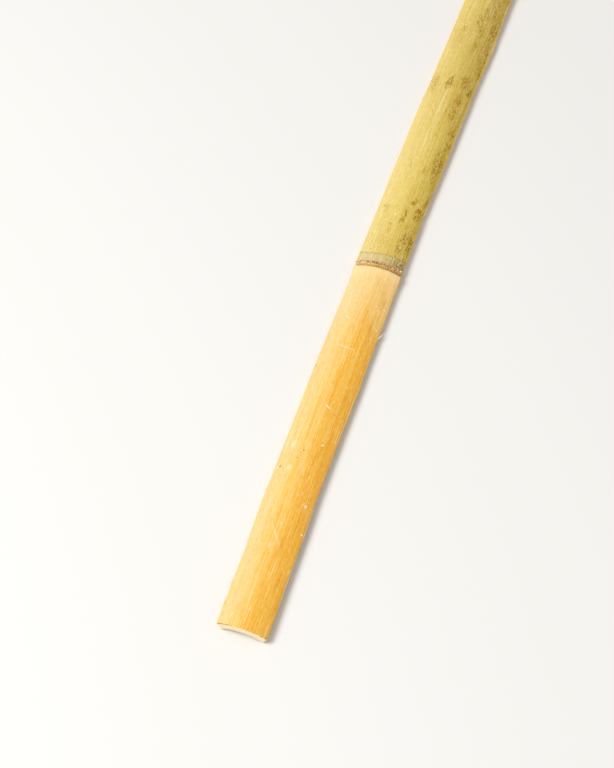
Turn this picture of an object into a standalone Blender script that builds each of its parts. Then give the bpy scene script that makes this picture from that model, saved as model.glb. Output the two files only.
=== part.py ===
"""A bamboo slat: one of the seven that a culm is split into, sawn to length.

Metres, +Z up. +X runs up the culm, from the butt end to the tip end. The slat lies skin up, on the
planed stumps of the two partitions that closed the culm inside. The origin is on the surface that it
lies on, under the middle of its length and width.
"""

import math

import bmesh
import bpy
from mathutils import Matrix, Vector

MM = 0.001

# The culm that the slat was split from
CULM_RADIUS = 44 * MM
CULM_TAPER = 2.2 * MM  # radius lost over one metre of height
SLATS_PER_CULM = 7
HALF_ANGLE = math.pi / SLATS_PER_CULM
WALL = 5.4 * MM
WALL_TAPER = 0.6 * MM  # wall lost over one metre of height

# The slat along its length
LENGTH = 1000 * MM
TIP_END = LENGTH / 2
BUTT_END = -LENGTH / 2
TIP_TO_NODE = 337 * MM
INTERNODE = 352 * MM
NODES = (TIP_END - TIP_TO_NODE, TIP_END - TIP_TO_NODE - INTERNODE)
NODE_MIDDLE = sum(NODES) / len(NODES)

# The ring at a node, going up the culm: a flare, the sheath scar, a hollow and a ridge
FLARE_HEIGHT = 0.5 * MM
FLARE_LENGTH = 9 * MM
FLARE_END = 1.2 * MM
SCAR_HEIGHT = 0.55 * MM
SCAR_WIDTH = 0.7 * MM
HOLLOW_AT = 2.5 * MM
HOLLOW_DEPTH = 0.4 * MM
HOLLOW_WIDTH = 1.4 * MM
RIDGE_AT = 6.0 * MM
RIDGE_HEIGHT = 1.2 * MM
RIDGE_LOWER_SLOPE = 2.1 * MM
RIDGE_UPPER_SLOPE = 7.0 * MM
RING_WAVE = 0.8 * MM  # how far the ring strays along the culm as it goes round
RING_WAVES = 2.6
RING_PHASE = -1.9
RING_WAVE_REACH = 24 * MM

# The stump of the partition inside each node, with the wall thickened towards it
STUMP_AT = 2.5 * MM
STUMP_HEIGHT = 7.5 * MM
STUMP_HALF_WIDTH = 3.0 * MM
FILLET_HEIGHT = 1.3 * MM
FILLET_LENGTH = 9 * MM

# How the split edges follow the grain
GRAIN_WAVES = ((310 * MM, 0.40 * MM), (127 * MM, 0.20 * MM), (71 * MM, 0.10 * MM))
SIDE_PHASE = {-1: 0.6, 1: 2.9}
KNOT_SWELL = 0.3 * MM
KNOT_REACH = 13 * MM

# How the slat is bent, and how its upper end is sawn
EDGE_LIFT = 0.5 * MM  # split edges above the surface, at the nodes
BOW = 1.5 * MM  # how much further the ends lift than the middle
SWEEP = 4.9 * MM
SWEEP_LENGTH = 1600 * MM
SWEEP_AT = 180 * MM
TIP_TWIST = math.radians(1.2)
BUTT_TWIST = math.radians(-1.4)
TIP_CUT_SKEW = math.radians(3.0)

# How finely the surface is divided
ARC_STEPS = 14
PLAIN_STEP = 14.5 * MM
RING_REACH = 27 * MM
RING_STEPS = 12  # on each side of a scar
RING_CROWDING = 3.2  # higher is closer together at the scar

BAMBOO_COLOUR = (0.78, 0.58, 0.26, 1.0)
BAMBOO_ROUGHNESS = 0.45


def bell(distance, width):
    """1 at no distance, falling smoothly to nothing at about twice the width."""
    return math.exp(-((distance / width) ** 2))


def ring_height(distance):
    """How far the skin stands out at a distance up the culm from a sheath scar."""
    flare = math.exp(distance / FLARE_LENGTH) if distance < 0 else bell(distance, FLARE_END)
    slope = RIDGE_LOWER_SLOPE if distance < RIDGE_AT else RIDGE_UPPER_SLOPE
    raised = FLARE_HEIGHT * flare + SCAR_HEIGHT * bell(distance, SCAR_WIDTH)
    raised += RIDGE_HEIGHT * bell(distance - RIDGE_AT, slope)
    return raised - HOLLOW_DEPTH * bell(distance - HOLLOW_AT, HOLLOW_WIDTH)


def stump_height(distance):
    """How far the inside stands in at a distance up the culm from a sheath scar."""
    from_stump = distance - STUMP_AT
    stump = STUMP_HEIGHT * math.exp(-((from_stump / STUMP_HALF_WIDTH) ** 4))
    return stump + FILLET_HEIGHT * bell(from_stump, FILLET_LENGTH)


def plain_radius(x):
    """Outer radius as it would be without nodes."""
    return CULM_RADIUS - CULM_TAPER * x


def plain_wall(x):
    """Wall thickness as it would be without nodes."""
    return WALL - WALL_TAPER * x


def outer_radius(x):
    return plain_radius(x) + sum(ring_height(x - node) for node in NODES)


def edge_angle(x, side):
    """Angle of a split edge from the crown: it follows the grain, which swings out round a node."""
    wander = sum(
        height * math.sin(math.tau * x / length + SIDE_PHASE[side] * (number + 1))
        for number, (length, height) in enumerate(GRAIN_WAVES)
    )
    wander += sum(KNOT_SWELL * bell(x - node, KNOT_REACH) for node in NODES)
    return side * (HALF_ANGLE + wander / CULM_RADIUS)


def ring_shift(x, angle):
    """How far a point near a node is carried along the culm, so that the ring is not quite level."""
    near = sum(bell(x - node, RING_WAVE_REACH) for node in NODES)
    return RING_WAVE * near * math.sin(RING_WAVES * angle + RING_PHASE + x / INTERNODE)


def tip_share(x):
    """0 up to the upper ring, growing to 1 at the tip end."""
    start = NODES[0] + RING_REACH
    return max(0.0, (x - start) / (TIP_END - start)) ** 2


def butt_share(x):
    """0 down to the lower ring, growing to 1 at the butt end."""
    start = NODES[-1] - RING_REACH
    return max(0.0, (start - x) / (start - BUTT_END)) ** 2


def bow_height(x):
    """How far the slat is lifted by its bow, which is nothing at the nodes."""
    middle_to_node = (NODES[0] - NODE_MIDDLE) / (LENGTH / 2)
    return BOW * (((x - NODE_MIDDLE) / (LENGTH / 2)) ** 2 - middle_to_node ** 2)


def axis_depth(x):
    """How far the culm's axis lies below the surface that the slat lies on."""
    return (plain_radius(x) - plain_wall(x)) * math.cos(HALF_ANGLE) - EDGE_LIFT - bow_height(x)


def inner_radius(x, angle):
    """Radius of the inside, with the stumps planed off level with the surface that the slat lies on."""
    grown = plain_radius(x) - plain_wall(x) - sum(stump_height(x - node) for node in NODES)
    return max(grown, axis_depth(x) / math.cos(angle))


def place(x, angle, radius):
    """The place of a point of the wall, once the slat is twisted, bowed and swept sideways."""
    across = radius * math.sin(angle)
    twist = Matrix.Rotation(-TIP_TWIST * tip_share(x) - BUTT_TWIST * butt_share(x), 3, "X")
    turned = twist @ Vector((0, across, radius * math.cos(angle) - axis_depth(x)))
    along = x + ring_shift(x, angle) + tip_share(x) * across * math.tan(TIP_CUT_SKEW)
    sweep = -SWEEP * math.cos(math.tau * (x - SWEEP_AT) / SWEEP_LENGTH)
    return Vector((along, turned.y + sweep, turned.z))


def section(x):
    """One cross-section: the skin from edge to edge, then the inside from edge to edge."""
    first, last = edge_angle(x, -1), edge_angle(x, 1)
    angles = [first + (last - first) * step / ARC_STEPS for step in range(ARC_STEPS + 1)]
    skin = [place(x, angle, outer_radius(x)) for angle in angles]
    inside = [place(x, angle, inner_radius(x, angle)) for angle in angles]
    return skin, inside


def stations():
    """Where the slat has its cross-sections: evenly between the nodes, crowding in to each scar."""
    found = set()
    for node in NODES:
        for step in range(-RING_STEPS, RING_STEPS + 1):
            crowded = math.sinh(RING_CROWDING * step / RING_STEPS) / math.sinh(RING_CROWDING)
            found.add(node + RING_REACH * crowded)
    stops = [BUTT_END, *sorted(node + side * RING_REACH for node in NODES for side in (-1, 1)), TIP_END]
    for start, end in zip(stops[::2], stops[1::2]):
        steps = math.ceil((end - start) / PLAIN_STEP)
        found.update(start + (end - start) * step / steps for step in range(steps))
    found.add(TIP_END)
    return sorted(found)


def add_strip(mesh, first, second):
    """Faces between two rows of vertices of the same length."""
    for a, b, c, d in zip(first, first[1:], second[1:], second):
        mesh.faces.new((a, b, c, d))


def centre(mesh):
    """Bring the middle of the mesh's box over the origin, along and across."""
    for axis in (0, 1):
        places = [vertex.co[axis] for vertex in mesh.verts]
        middle = (min(places) + max(places)) / 2
        for vertex in mesh.verts:
            vertex.co[axis] -= middle


def slat_mesh():
    """The whole slat as one closed mesh."""
    mesh = bmesh.new()
    rows = [[[mesh.verts.new(point) for point in line] for line in section(x)] for x in stations()]
    for (skin, inside), (next_skin, next_inside) in zip(rows, rows[1:]):
        add_strip(mesh, skin, next_skin)
        add_strip(mesh, inside, next_inside)
        for edge in (0, -1):
            add_strip(mesh, [skin[edge], inside[edge]], [next_skin[edge], next_inside[edge]])
    for skin, inside in (rows[0], rows[-1]):
        add_strip(mesh, skin, inside)
    bmesh.ops.recalc_face_normals(mesh, faces=mesh.faces)
    bmesh.ops.triangulate(mesh, faces=mesh.faces)
    centre(mesh)
    data = bpy.data.meshes.new("slat")
    mesh.to_mesh(data)
    mesh.free()
    data.shade_smooth()
    data.set_sharp_from_angle(angle=math.radians(40))
    return data


def bamboo():
    material = bpy.data.materials.new("bamboo")
    material.use_nodes = True
    surface = material.node_tree.nodes["Principled BSDF"]
    surface.inputs["Base Color"].default_value = BAMBOO_COLOUR
    surface.inputs["Roughness"].default_value = BAMBOO_ROUGHNESS
    return material


for old in list(bpy.data.objects):
    bpy.data.objects.remove(old)
slat = bpy.data.objects.new("slat", slat_mesh())
slat.data.materials.append(bamboo())
bpy.context.scene.collection.objects.link(slat)
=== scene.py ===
import functools
import math

import bmesh
import bpy
import numpy as np
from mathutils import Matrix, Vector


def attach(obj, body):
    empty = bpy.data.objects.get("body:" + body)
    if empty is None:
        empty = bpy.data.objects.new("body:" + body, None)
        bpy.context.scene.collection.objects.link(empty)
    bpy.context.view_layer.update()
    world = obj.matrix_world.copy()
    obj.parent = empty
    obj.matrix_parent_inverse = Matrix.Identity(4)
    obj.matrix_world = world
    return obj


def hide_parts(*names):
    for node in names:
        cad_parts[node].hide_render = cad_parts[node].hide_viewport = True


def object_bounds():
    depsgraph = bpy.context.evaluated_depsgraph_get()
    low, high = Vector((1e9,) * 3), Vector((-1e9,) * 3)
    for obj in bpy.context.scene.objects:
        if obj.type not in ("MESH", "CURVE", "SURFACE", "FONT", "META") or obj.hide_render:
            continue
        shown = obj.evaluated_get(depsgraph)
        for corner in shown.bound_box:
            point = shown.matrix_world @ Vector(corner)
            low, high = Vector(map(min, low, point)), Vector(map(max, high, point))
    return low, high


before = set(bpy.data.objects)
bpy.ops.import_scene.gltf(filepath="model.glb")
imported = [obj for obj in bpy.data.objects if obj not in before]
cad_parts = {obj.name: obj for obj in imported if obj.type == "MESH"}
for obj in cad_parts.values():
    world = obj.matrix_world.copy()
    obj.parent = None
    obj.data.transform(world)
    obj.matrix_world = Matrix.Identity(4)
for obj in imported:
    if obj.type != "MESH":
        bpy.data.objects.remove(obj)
cad_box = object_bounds()


# The culm wall. The slat is one strip of the wall of a bamboo culm, grown in one piece. It was split
# out of the culm along the grain and sawn off at both ends. Everything on it grew to these sizes.

MM = 0.001
CULM_RADIUS = 44 * MM
CULM_TAPER = 2.2 * MM  # radius lost over one metre of height
SLATS_PER_CULM = 7
HALF_ANGLE = math.pi / SLATS_PER_CULM
WALL = 5.4 * MM
WALL_TAPER = 0.6 * MM  # thickness lost over one metre of height
TIP_END = 500 * MM
BUTT_END = -TIP_END
TIP_TO_NODE = 337 * MM
INTERNODE = 352 * MM
TIP_NODE = TIP_END - TIP_TO_NODE
BUTT_NODE = TIP_NODE - INTERNODE
NODES = (TIP_NODE, BUTT_NODE)
NODE_MIDDLE = (TIP_NODE + BUTT_NODE) / 2
RING_REACH = 27 * MM
RING_WAVE = 0.8 * MM  # how far the ring strays along the culm as it goes round
RING_WAVE_REACH = 24 * MM
RING_WAVES = 2.6
RING_PHASE = -1.9

EDGE_LIFT = 0.5 * MM  # split edges above the surface that the slat lies on, at the nodes
BOW = 1.5 * MM  # how much further the ends lift than the middle
SWEEP = 4.9 * MM
SWEEP_LENGTH = 1600 * MM
SWEEP_AT = 180 * MM
TIP_TWIST = math.radians(1.2)
BUTT_TWIST = math.radians(-1.4)
TIP_CUT_SKEW = math.radians(3.0)


def bell(distance, width):
    """1 at no distance, falling smoothly to nothing at about twice the width."""
    return np.exp(-((distance / width) ** 2))


def plain_radius(x):
    return CULM_RADIUS - CULM_TAPER * x


def plain_wall(x):
    return WALL - WALL_TAPER * x


def past(x, start, end):
    """0 up to the start, growing to 1 at the end."""
    return np.clip((x - start) / (end - start), 0, 1) ** 2


def axis_depth(x):
    """How far the culm's axis lies below the surface that the slat lies on."""
    bow = ((x - NODE_MIDDLE) / TIP_END) ** 2 - ((TIP_NODE - NODE_MIDDLE) / TIP_END) ** 2
    return (plain_radius(x) - plain_wall(x)) * math.cos(HALF_ANGLE) - EDGE_LIFT - BOW * bow


def ring_shift(x, angle):
    """How far a point near a node is carried along, because the ring is not quite level."""
    near = sum(bell(x - node, RING_WAVE_REACH) for node in NODES)
    return RING_WAVE * near * np.sin(RING_WAVES * angle + RING_PHASE + x / INTERNODE)


def place(x, angle, radius):
    """Where a point of the wall is, once the slat is twisted, bowed and swept sideways."""
    tip = past(x, TIP_NODE + RING_REACH, TIP_END)
    twist = -TIP_TWIST * tip - BUTT_TWIST * past(x, BUTT_NODE - RING_REACH, BUTT_END)
    across = radius * np.sin(angle)
    rise = radius * np.cos(angle) - axis_depth(x)
    along = x + ring_shift(x, angle) + tip * across * math.tan(TIP_CUT_SKEW)
    sweep = -SWEEP * np.cos(math.tau * (x - SWEEP_AT) / SWEEP_LENGTH)
    side = across * np.cos(twist) - rise * np.sin(twist) + sweep
    return np.stack([along, side, across * np.sin(twist) + rise * np.cos(twist)], -1)


CELLS = 211  # the noise repeats after this many swells


@functools.cache
def lattice_of(seed):
    return np.random.default_rng(seed).uniform(-1, 1, (CELLS, CELLS))


def ripple(u, v, seed):
    """Smooth noise from -1 to 1, with one swell to each whole step of u and of v."""
    lattice = lattice_of(seed)
    u, v = np.broadcast_arrays(u, v)
    i, j = np.floor(u).astype(int), np.floor(v).astype(int)
    a, b = u - i, v - j
    a, b = a * a * (3 - 2 * a), b * b * (3 - 2 * b)
    near, near_next, far, far_next = (
        lattice[(i + di) % CELLS, (j + dj) % CELLS] for di in (0, 1) for dj in (0, 1))
    return (near * (1 - b) + near_next * b) * (1 - a) + (far * (1 - b) + far_next * b) * a


# The ring at a node, on the skin. Going up the culm it is a flare, the scar that the sheath left when
# it dropped, a pitted hollow, and a rounded ridge. It grew unevenly, and the scar's lip is ragged.

FLARE_HEIGHT = 0.5 * MM
FLARE_BELOW = 9 * MM
FLARE_ABOVE = 1.2 * MM
SCAR_HEIGHT = 0.55 * MM
SCAR_BELOW = 0.75 * MM
SCAR_ABOVE = 0.5 * MM
LIP_WAVE = 0.30 * MM
LIP_FRAY = 0.16 * MM
HOLLOW_AT = 2.5 * MM
HOLLOW_WIDTH = 1.4 * MM
HOLLOW_DEPTH = 0.4 * MM
PIT_DEPTH = 0.3 * MM
RIDGE_AT = 6.0 * MM
RIDGE_HEIGHT = 1.12 * MM
RIDGE_BELOW = 2.1 * MM
RIDGE_ABOVE = 7.0 * MM
RIB_HEIGHT = 0.035 * MM
DENT_DEPTH = 0.10 * MM


def ring_height(distance, arc, node):
    """How far the skin stands out at a distance up the culm from a scar, round at an arc length."""
    seed = 11 + NODES.index(node)
    lip = distance + LIP_WAVE * ripple(arc / (2.6 * MM), node / MM, seed)
    lip = lip + LIP_FRAY * ripple(arc / (0.8 * MM), node / MM, seed + 10)
    chipped = 1 - 0.45 * np.clip(ripple(arc / (1.5 * MM), node / MM, seed + 20), 0, 1)
    flare_below = np.exp(np.minimum(distance, 0) / FLARE_BELOW)
    raised = FLARE_HEIGHT * np.where(distance < 0, flare_below, bell(distance, FLARE_ABOVE))
    raised = raised + SCAR_HEIGHT * chipped * bell(lip, np.where(lip < 0, SCAR_BELOW, SCAR_ABOVE))
    uneven = 1 + 0.10 * ripple(arc / (9 * MM), node / MM, seed + 30)
    slope = np.where(distance < RIDGE_AT, RIDGE_BELOW, RIDGE_ABOVE)
    raised = raised + RIDGE_HEIGHT * uneven * bell(distance - RIDGE_AT, slope)
    pits = np.clip(ripple(distance / (0.7 * MM), arc / (0.9 * MM), seed + 40) - 0.25, 0, 1)
    return raised - bell(distance - HOLLOW_AT, HOLLOW_WIDTH) * (HOLLOW_DEPTH + PIT_DEPTH * pits)


def skin_radius(x, arc):
    """Radius of the skin: the rings, and the faint ribs that the fibres under it raise."""
    grown = plain_radius(x) + sum(ring_height(x - node, arc, node) for node in NODES)
    ribs = RIB_HEIGHT * (1 + ripple(x / (190 * MM), arc / (1.9 * MM), 51))
    dents = DENT_DEPTH * np.clip(ripple(x / (26 * MM), arc / (7 * MM), 52) - 0.45, 0, 1)
    return grown - ribs - dents


# The inside of the wall is the soft, pale lining of the hollow culm. At each node the stump of the
# partition that closed the culm stands across it, planed off level with what the slat lies on.

STUMP_AT = 2.5 * MM  # up the culm from the scar
STUMP_HEIGHT = 7.5 * MM
STUMP_HALF_WIDTH = 3.0 * MM
FILLET_HEIGHT = 1.3 * MM
FILLET_LENGTH = 9 * MM
RIM_WAVE = 0.35 * MM
TORN_DEPTH = 0.5 * MM
TORN_REACH = 5.5 * MM
GROOVE_DEPTH = 0.05 * MM


def lining_radius(x, arc, angle):
    """Radius of the inside, with its fine grooves, its torn fillets and the planed stumps."""
    grown = plain_radius(x) - plain_wall(x)
    for node in NODES:
        from_stump = x - node - STUMP_AT
        ragged = from_stump + RIM_WAVE * ripple(arc / (1.7 * MM), node / MM, 61)
        grown = grown - STUMP_HEIGHT * np.exp(-((ragged / STUMP_HALF_WIDTH) ** 4))
        grown = grown - FILLET_HEIGHT * bell(from_stump, FILLET_LENGTH)
        torn = 0.5 + 0.5 * ripple(x / (1.9 * MM), arc / (1.3 * MM), 62)
        grown = grown + TORN_DEPTH * torn * bell(from_stump, TORN_REACH)
    grown = grown + GROOVE_DEPTH * (1 + ripple(x / (150 * MM), arc / (1.3 * MM), 63))
    return np.maximum(grown, axis_depth(x) / np.cos(angle))


# The two split edges. The knife only starts the split, and the wood tears along its fibres after
# that, so the faces are streaky, they swing out round the nodes, and the arris has lost slivers.

GRAIN_WAVES = ((310 * MM, 0.40 * MM), (127 * MM, 0.20 * MM), (71 * MM, 0.10 * MM))
SIDE_PHASE = {-1: 0.6, 1: 2.9}
SIDE_SEED = {-1: 71, 1: 81}
KNOT_SWELL = 0.3 * MM
KNOT_REACH = 13 * MM
TORN_AT_NODES = 1.6  # how much more is torn at a node
TORN_NODE_REACH = 10 * MM
THREAD_DEPTH = 0.07 * MM
STRAND_DEPTH = 0.10 * MM
SLIVER_DEPTH = 1.3 * MM  # lost from the outer arris in places
CHIP_DEPTH = 1.2 * MM  # lost from the inner arris in places
ARRIS_LOSS = {-1: 0.50 * MM, 1: 0.60 * MM}


def edge_angle(x, side):
    """Angle of a split edge from the crown, before it is torn."""
    wander = sum(
        height * np.sin(math.tau * x / length + SIDE_PHASE[side] * (number + 1))
        for number, (length, height) in enumerate(GRAIN_WAVES)
    )
    wander = wander + sum(KNOT_SWELL * bell(x - node, KNOT_REACH) for node in NODES)
    return side * (HALF_ANGLE + wander / CULM_RADIUS)


def ripple_along(x, length, seed):
    """Noise from -1 to 1 that changes along the slat only."""
    return ripple(x / length, 0.5 + 0 * x, seed)


def torn_away(x, depth, side):
    """How much of the edge the split took away, at a depth under the skin."""
    seed = SIDE_SEED[side]
    at_node = 1 + TORN_AT_NODES * sum(bell(x - node, TORN_NODE_REACH) for node in NODES)
    threads = THREAD_DEPTH * (1 + ripple(x / (60 * MM), depth / (0.45 * MM), seed))
    strands = STRAND_DEPTH * (1 + ripple(x / (33 * MM), depth / (1.6 * MM), seed + 1))
    slivers = np.clip(ripple_along(x, 15 * MM, seed + 2) - 0.52, 0, 1)
    lost = SLIVER_DEPTH * slivers * np.exp(-depth / (1.1 * MM))
    chips = np.clip(ripple_along(x, 21 * MM, seed + 3) - 0.50, 0, 1)
    lost = lost + CHIP_DEPTH * chips * np.exp(-(plain_wall(x) - depth) / (1.0 * MM))
    broken = ARRIS_LOSS[side] * (1 + 0.6 * ripple_along(x, 44 * MM, seed + 4))
    arris = broken * np.clip(1 - depth / (0.9 * broken), 0, 1)
    return (threads + strands) * at_node + lost + arris


# The slat's one closed surface: a sleeve of cross-sections, with rows closest at the scars, and a
# face sawn across each end. The saw left the ends a little rough.

ACROSS = 64  # steps from edge to edge
THROUGH = 10  # steps from the skin to the inside
THROUGH_CROWDING = 1.4  # higher is closer together under the skin
RING_ROWS = 62  # on each side of a scar
RING_CROWDING = 3.2  # higher is closer together at the scar
PLAIN_STEP = 2.45 * MM
TORN_NEAR_EDGE = 8  # higher keeps the tearing nearer to the split edges
SAW_MARKS = 0.11 * MM
NICK_DEPTH = 0.9 * MM
CORNER_LOSS = 1.3 * MM  # at the right corner
LEFT_CORNER_SHARE = 0.35  # of that, at the left corner
STRIPS = 3  # the surface is laid flat in this many strips, one above the other, for its colours
STRIP_GAP = 0.012
STRIP_LENGTH = 0.93
END_PLACE = 0.96
END_WIDTH = 0.03
SKIN, SPLIT_EDGE, LINING, SAWN_END = range(4)  # the finishes, in the order of their slots


def stations():
    crowd = np.sinh(RING_CROWDING * np.linspace(-1, 1, 2 * RING_ROWS + 1)) / math.sinh(RING_CROWDING)
    stops = [BUTT_END, *sorted(node + side * RING_REACH for node in NODES for side in (-1, 1)), TIP_END]
    parts = [node + RING_REACH * crowd for node in NODES]
    for start, end in zip(stops[::2], stops[1::2]):
        steps = math.ceil((end - start) / PLAIN_STEP)
        parts.append(np.linspace(start, end, steps + 1)[1:-1])
    return np.sort(np.concatenate([[BUTT_END, TIP_END], *parts]))


def wall_point(x, s, d, fine=True):
    """A point of the wall: s goes from edge to edge as -1 to 1, and d from skin to inside as 0 to 1.
    It comes with its grain place: along the culm, round it, and under the skin."""
    first, last = edge_angle(x, -1), edge_angle(x, 1)
    angle = first + (last - first) * (s + 1) / 2
    arc = angle * plain_radius(x)
    outer = skin_radius(x, arc) if fine else plain_radius(x)
    inner = lining_radius(x, arc, angle)
    depth = (outer - inner) * d
    if fine:
        near_edge = np.abs(s) ** TORN_NEAR_EDGE
        torn = torn_away(x, depth, -1) * (s < 0) + torn_away(x, depth, 1) * (s > 0)
        angle = angle - np.sign(s) * near_edge * torn / CULM_RADIUS
    point = place(x, angle, outer - depth)
    if fine:
        sawn = SAW_MARKS * (1 + ripple(arc / (0.5 * MM), depth / (0.4 * MM), 91))
        nick = np.clip(ripple(arc / (1.7 * MM), x / MM, 92) - 0.35, 0, 1) * np.exp(-depth / (0.5 * MM))
        left_corner = np.clip((-s - 0.95) / 0.05, 0, 1) ** 2
        corner = np.clip((s - 0.92) / 0.08, 0, 1) ** 2 + LEFT_CORNER_SHARE * left_corner
        sawn = sawn + NICK_DEPTH * nick + CORNER_LOSS * corner
        point[..., 0] -= np.where(x >= TIP_END, sawn, 0) - np.where(x <= BUTT_END, sawn, 0)
    return point, np.stack([x + 0 * arc, arc, depth], -1)


def corners_of(grid):
    """The four corners of each square of a grid."""
    return np.stack([grid[:-1, :-1], grid[1:, :-1], grid[1:, 1:], grid[:-1, 1:]], 2)


across = np.linspace(-1, 1, ACROSS + 1)
through = np.linspace(0, 1, THROUGH + 1) ** THROUGH_CROWDING
loop_s = np.concatenate([across[:-1], np.ones(THROUGH), across[:0:-1], -np.ones(THROUGH)])
loop_d = np.concatenate([np.zeros(ACROSS), through[:-1], np.ones(ACROSS), through[:0:-1]])
loop_finish = np.repeat([SKIN, SPLIT_EDGE, LINING, SPLIT_EDGE], [ACROSS, THROUGH, ACROSS, THROUGH])
rows = stations()
sleeve, sleeve_grain = wall_point(rows[:, None], loop_s, loop_d)
plain, _ = wall_point(rows[:, None], across, 0 * across, fine=False)
middle = (plain.min((0, 1)) + plain.max((0, 1))) / 2
shift = np.array([cad_box[0][0] - BUTT_END, -middle[1], 0])

# The sleeve, and its layout: one strip above another, each a third of the length, unrolled
number = np.arange(sleeve[..., 0].size).reshape(len(rows), -1)
closed = np.concatenate([number, number[:, :1]], 1)
girth = np.linalg.norm(np.diff(sleeve[0][closed[0]], axis=0), axis=1).cumsum()
girth = np.concatenate([[0], girth]) / girth[-1]
reach = (rows - BUTT_END) / (TIP_END - BUTT_END) * STRIPS
strip = np.minimum(reach[:-1].astype(int), STRIPS - 1)
flat = np.empty((len(rows) - 1, len(loop_s), 4, 2))
flat[:, :, (0, 3), 0] = (STRIP_GAP + STRIP_LENGTH * (reach[:-1] - strip))[:, None, None]
flat[:, :, (1, 2), 0] = (STRIP_GAP + STRIP_LENGTH * (reach[1:] - strip))[:, None, None]
unrolled = (strip[:, None] + STRIP_GAP + (1 - 2 * STRIP_GAP) * girth) / STRIPS
flat[:, :, (0, 1), 1] = unrolled[:, :-1, None]
flat[:, :, (2, 3), 1] = unrolled[:, 1:, None]
points, grain = [sleeve.reshape(-1, 3)], [sleeve_grain.reshape(-1, 3)]
faces, layout = [corners_of(closed).reshape(-1, 4)], [flat.reshape(-1, 4, 2)]
slots = [np.tile(loop_finish, len(rows) - 1)]

# The sawn faces, each on the rim of the sleeve
inner_s, inner_d = np.meshgrid(across[1:-1], through[1:-1], indexing="ij")
for end, row in enumerate((0, len(rows) - 1)):
    sawn_face, sawn_grain = wall_point(rows[row] + 0 * inner_s, inner_s, inner_d)
    grid = np.empty((ACROSS + 1, THROUGH + 1), int)
    grid[1:-1, 1:-1] = sum(map(len, points)) + np.arange(inner_s.size).reshape(inner_s.shape)
    grid[:-1, 0] = number[row, :ACROSS]
    grid[-1, :-1] = number[row, ACROSS:ACROSS + THROUGH]
    grid[:0:-1, -1] = number[row, ACROSS + THROUGH:-THROUGH]
    grid[0, :0:-1] = number[row, -THROUGH:]
    beside = (end + STRIP_GAP + (1 - 2 * STRIP_GAP) * (across[:, None] + 1) / 2) / (2 * STRIPS)
    flat = np.stack(np.broadcast_arrays(END_PLACE + END_WIDTH * through, beside), -1)
    points.append(sawn_face.reshape(-1, 3))
    grain.append(sawn_grain.reshape(-1, 3))
    faces.append(corners_of(grid).reshape(-1, 4))
    layout.append(corners_of(flat).reshape(-1, 4, 2))
    slots.append(np.full(ACROSS * THROUGH, SAWN_END))
points, grain, faces, layout, slots = map(np.concatenate, (points, grain, faces, layout, slots))
points += shift


def add_piece(name, points, faces, grain, layout=None, sharp=48):
    """A visible piece that rides with the slat, with the grain place of each of its points."""
    mesh = bpy.data.meshes.new(name)
    mesh.from_pydata(points.tolist(), [], faces)
    places = mesh.attributes.new("grain", "FLOAT_VECTOR", "POINT")
    places.data.foreach_set("vector", grain.astype(np.float32).ravel())
    if layout is not None:
        mesh.uv_layers.new(name="OFBake").data.foreach_set("uv", layout.astype(np.float32).ravel())
    work = bmesh.new()
    work.from_mesh(mesh)
    bmesh.ops.recalc_face_normals(work, faces=work.faces)
    work.to_mesh(mesh)
    work.free()
    mesh.shade_smooth()
    mesh.set_sharp_from_angle(angle=math.radians(sharp))
    piece = bpy.data.objects.new(name, mesh)
    bpy.context.scene.collection.objects.link(piece)
    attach(piece, "root")
    return piece


slat = add_piece("bamboo_slat", points, faces.tolist(), grain, layout)
slat.data.polygons.foreach_set("material_index", slots.astype(np.int32))
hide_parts("slat")


# The skin's colour. The rind was green on the shaded side of the culm and dries to straw and olive,
# and to peach and orange where the sun reached it. Fibres under it streak the colour from end to end.

MIX_A, MIX_B, MIX_COLOUR = 6, 7, 2  # the Mix node's sockets for colours, by number
SEED_STEP = (7.3, 3.1, 1.7)  # how far apart in the noise two seeds lie
RELIEF = 0.3 * MM  # how deep the finest relief of a finish is


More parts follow.
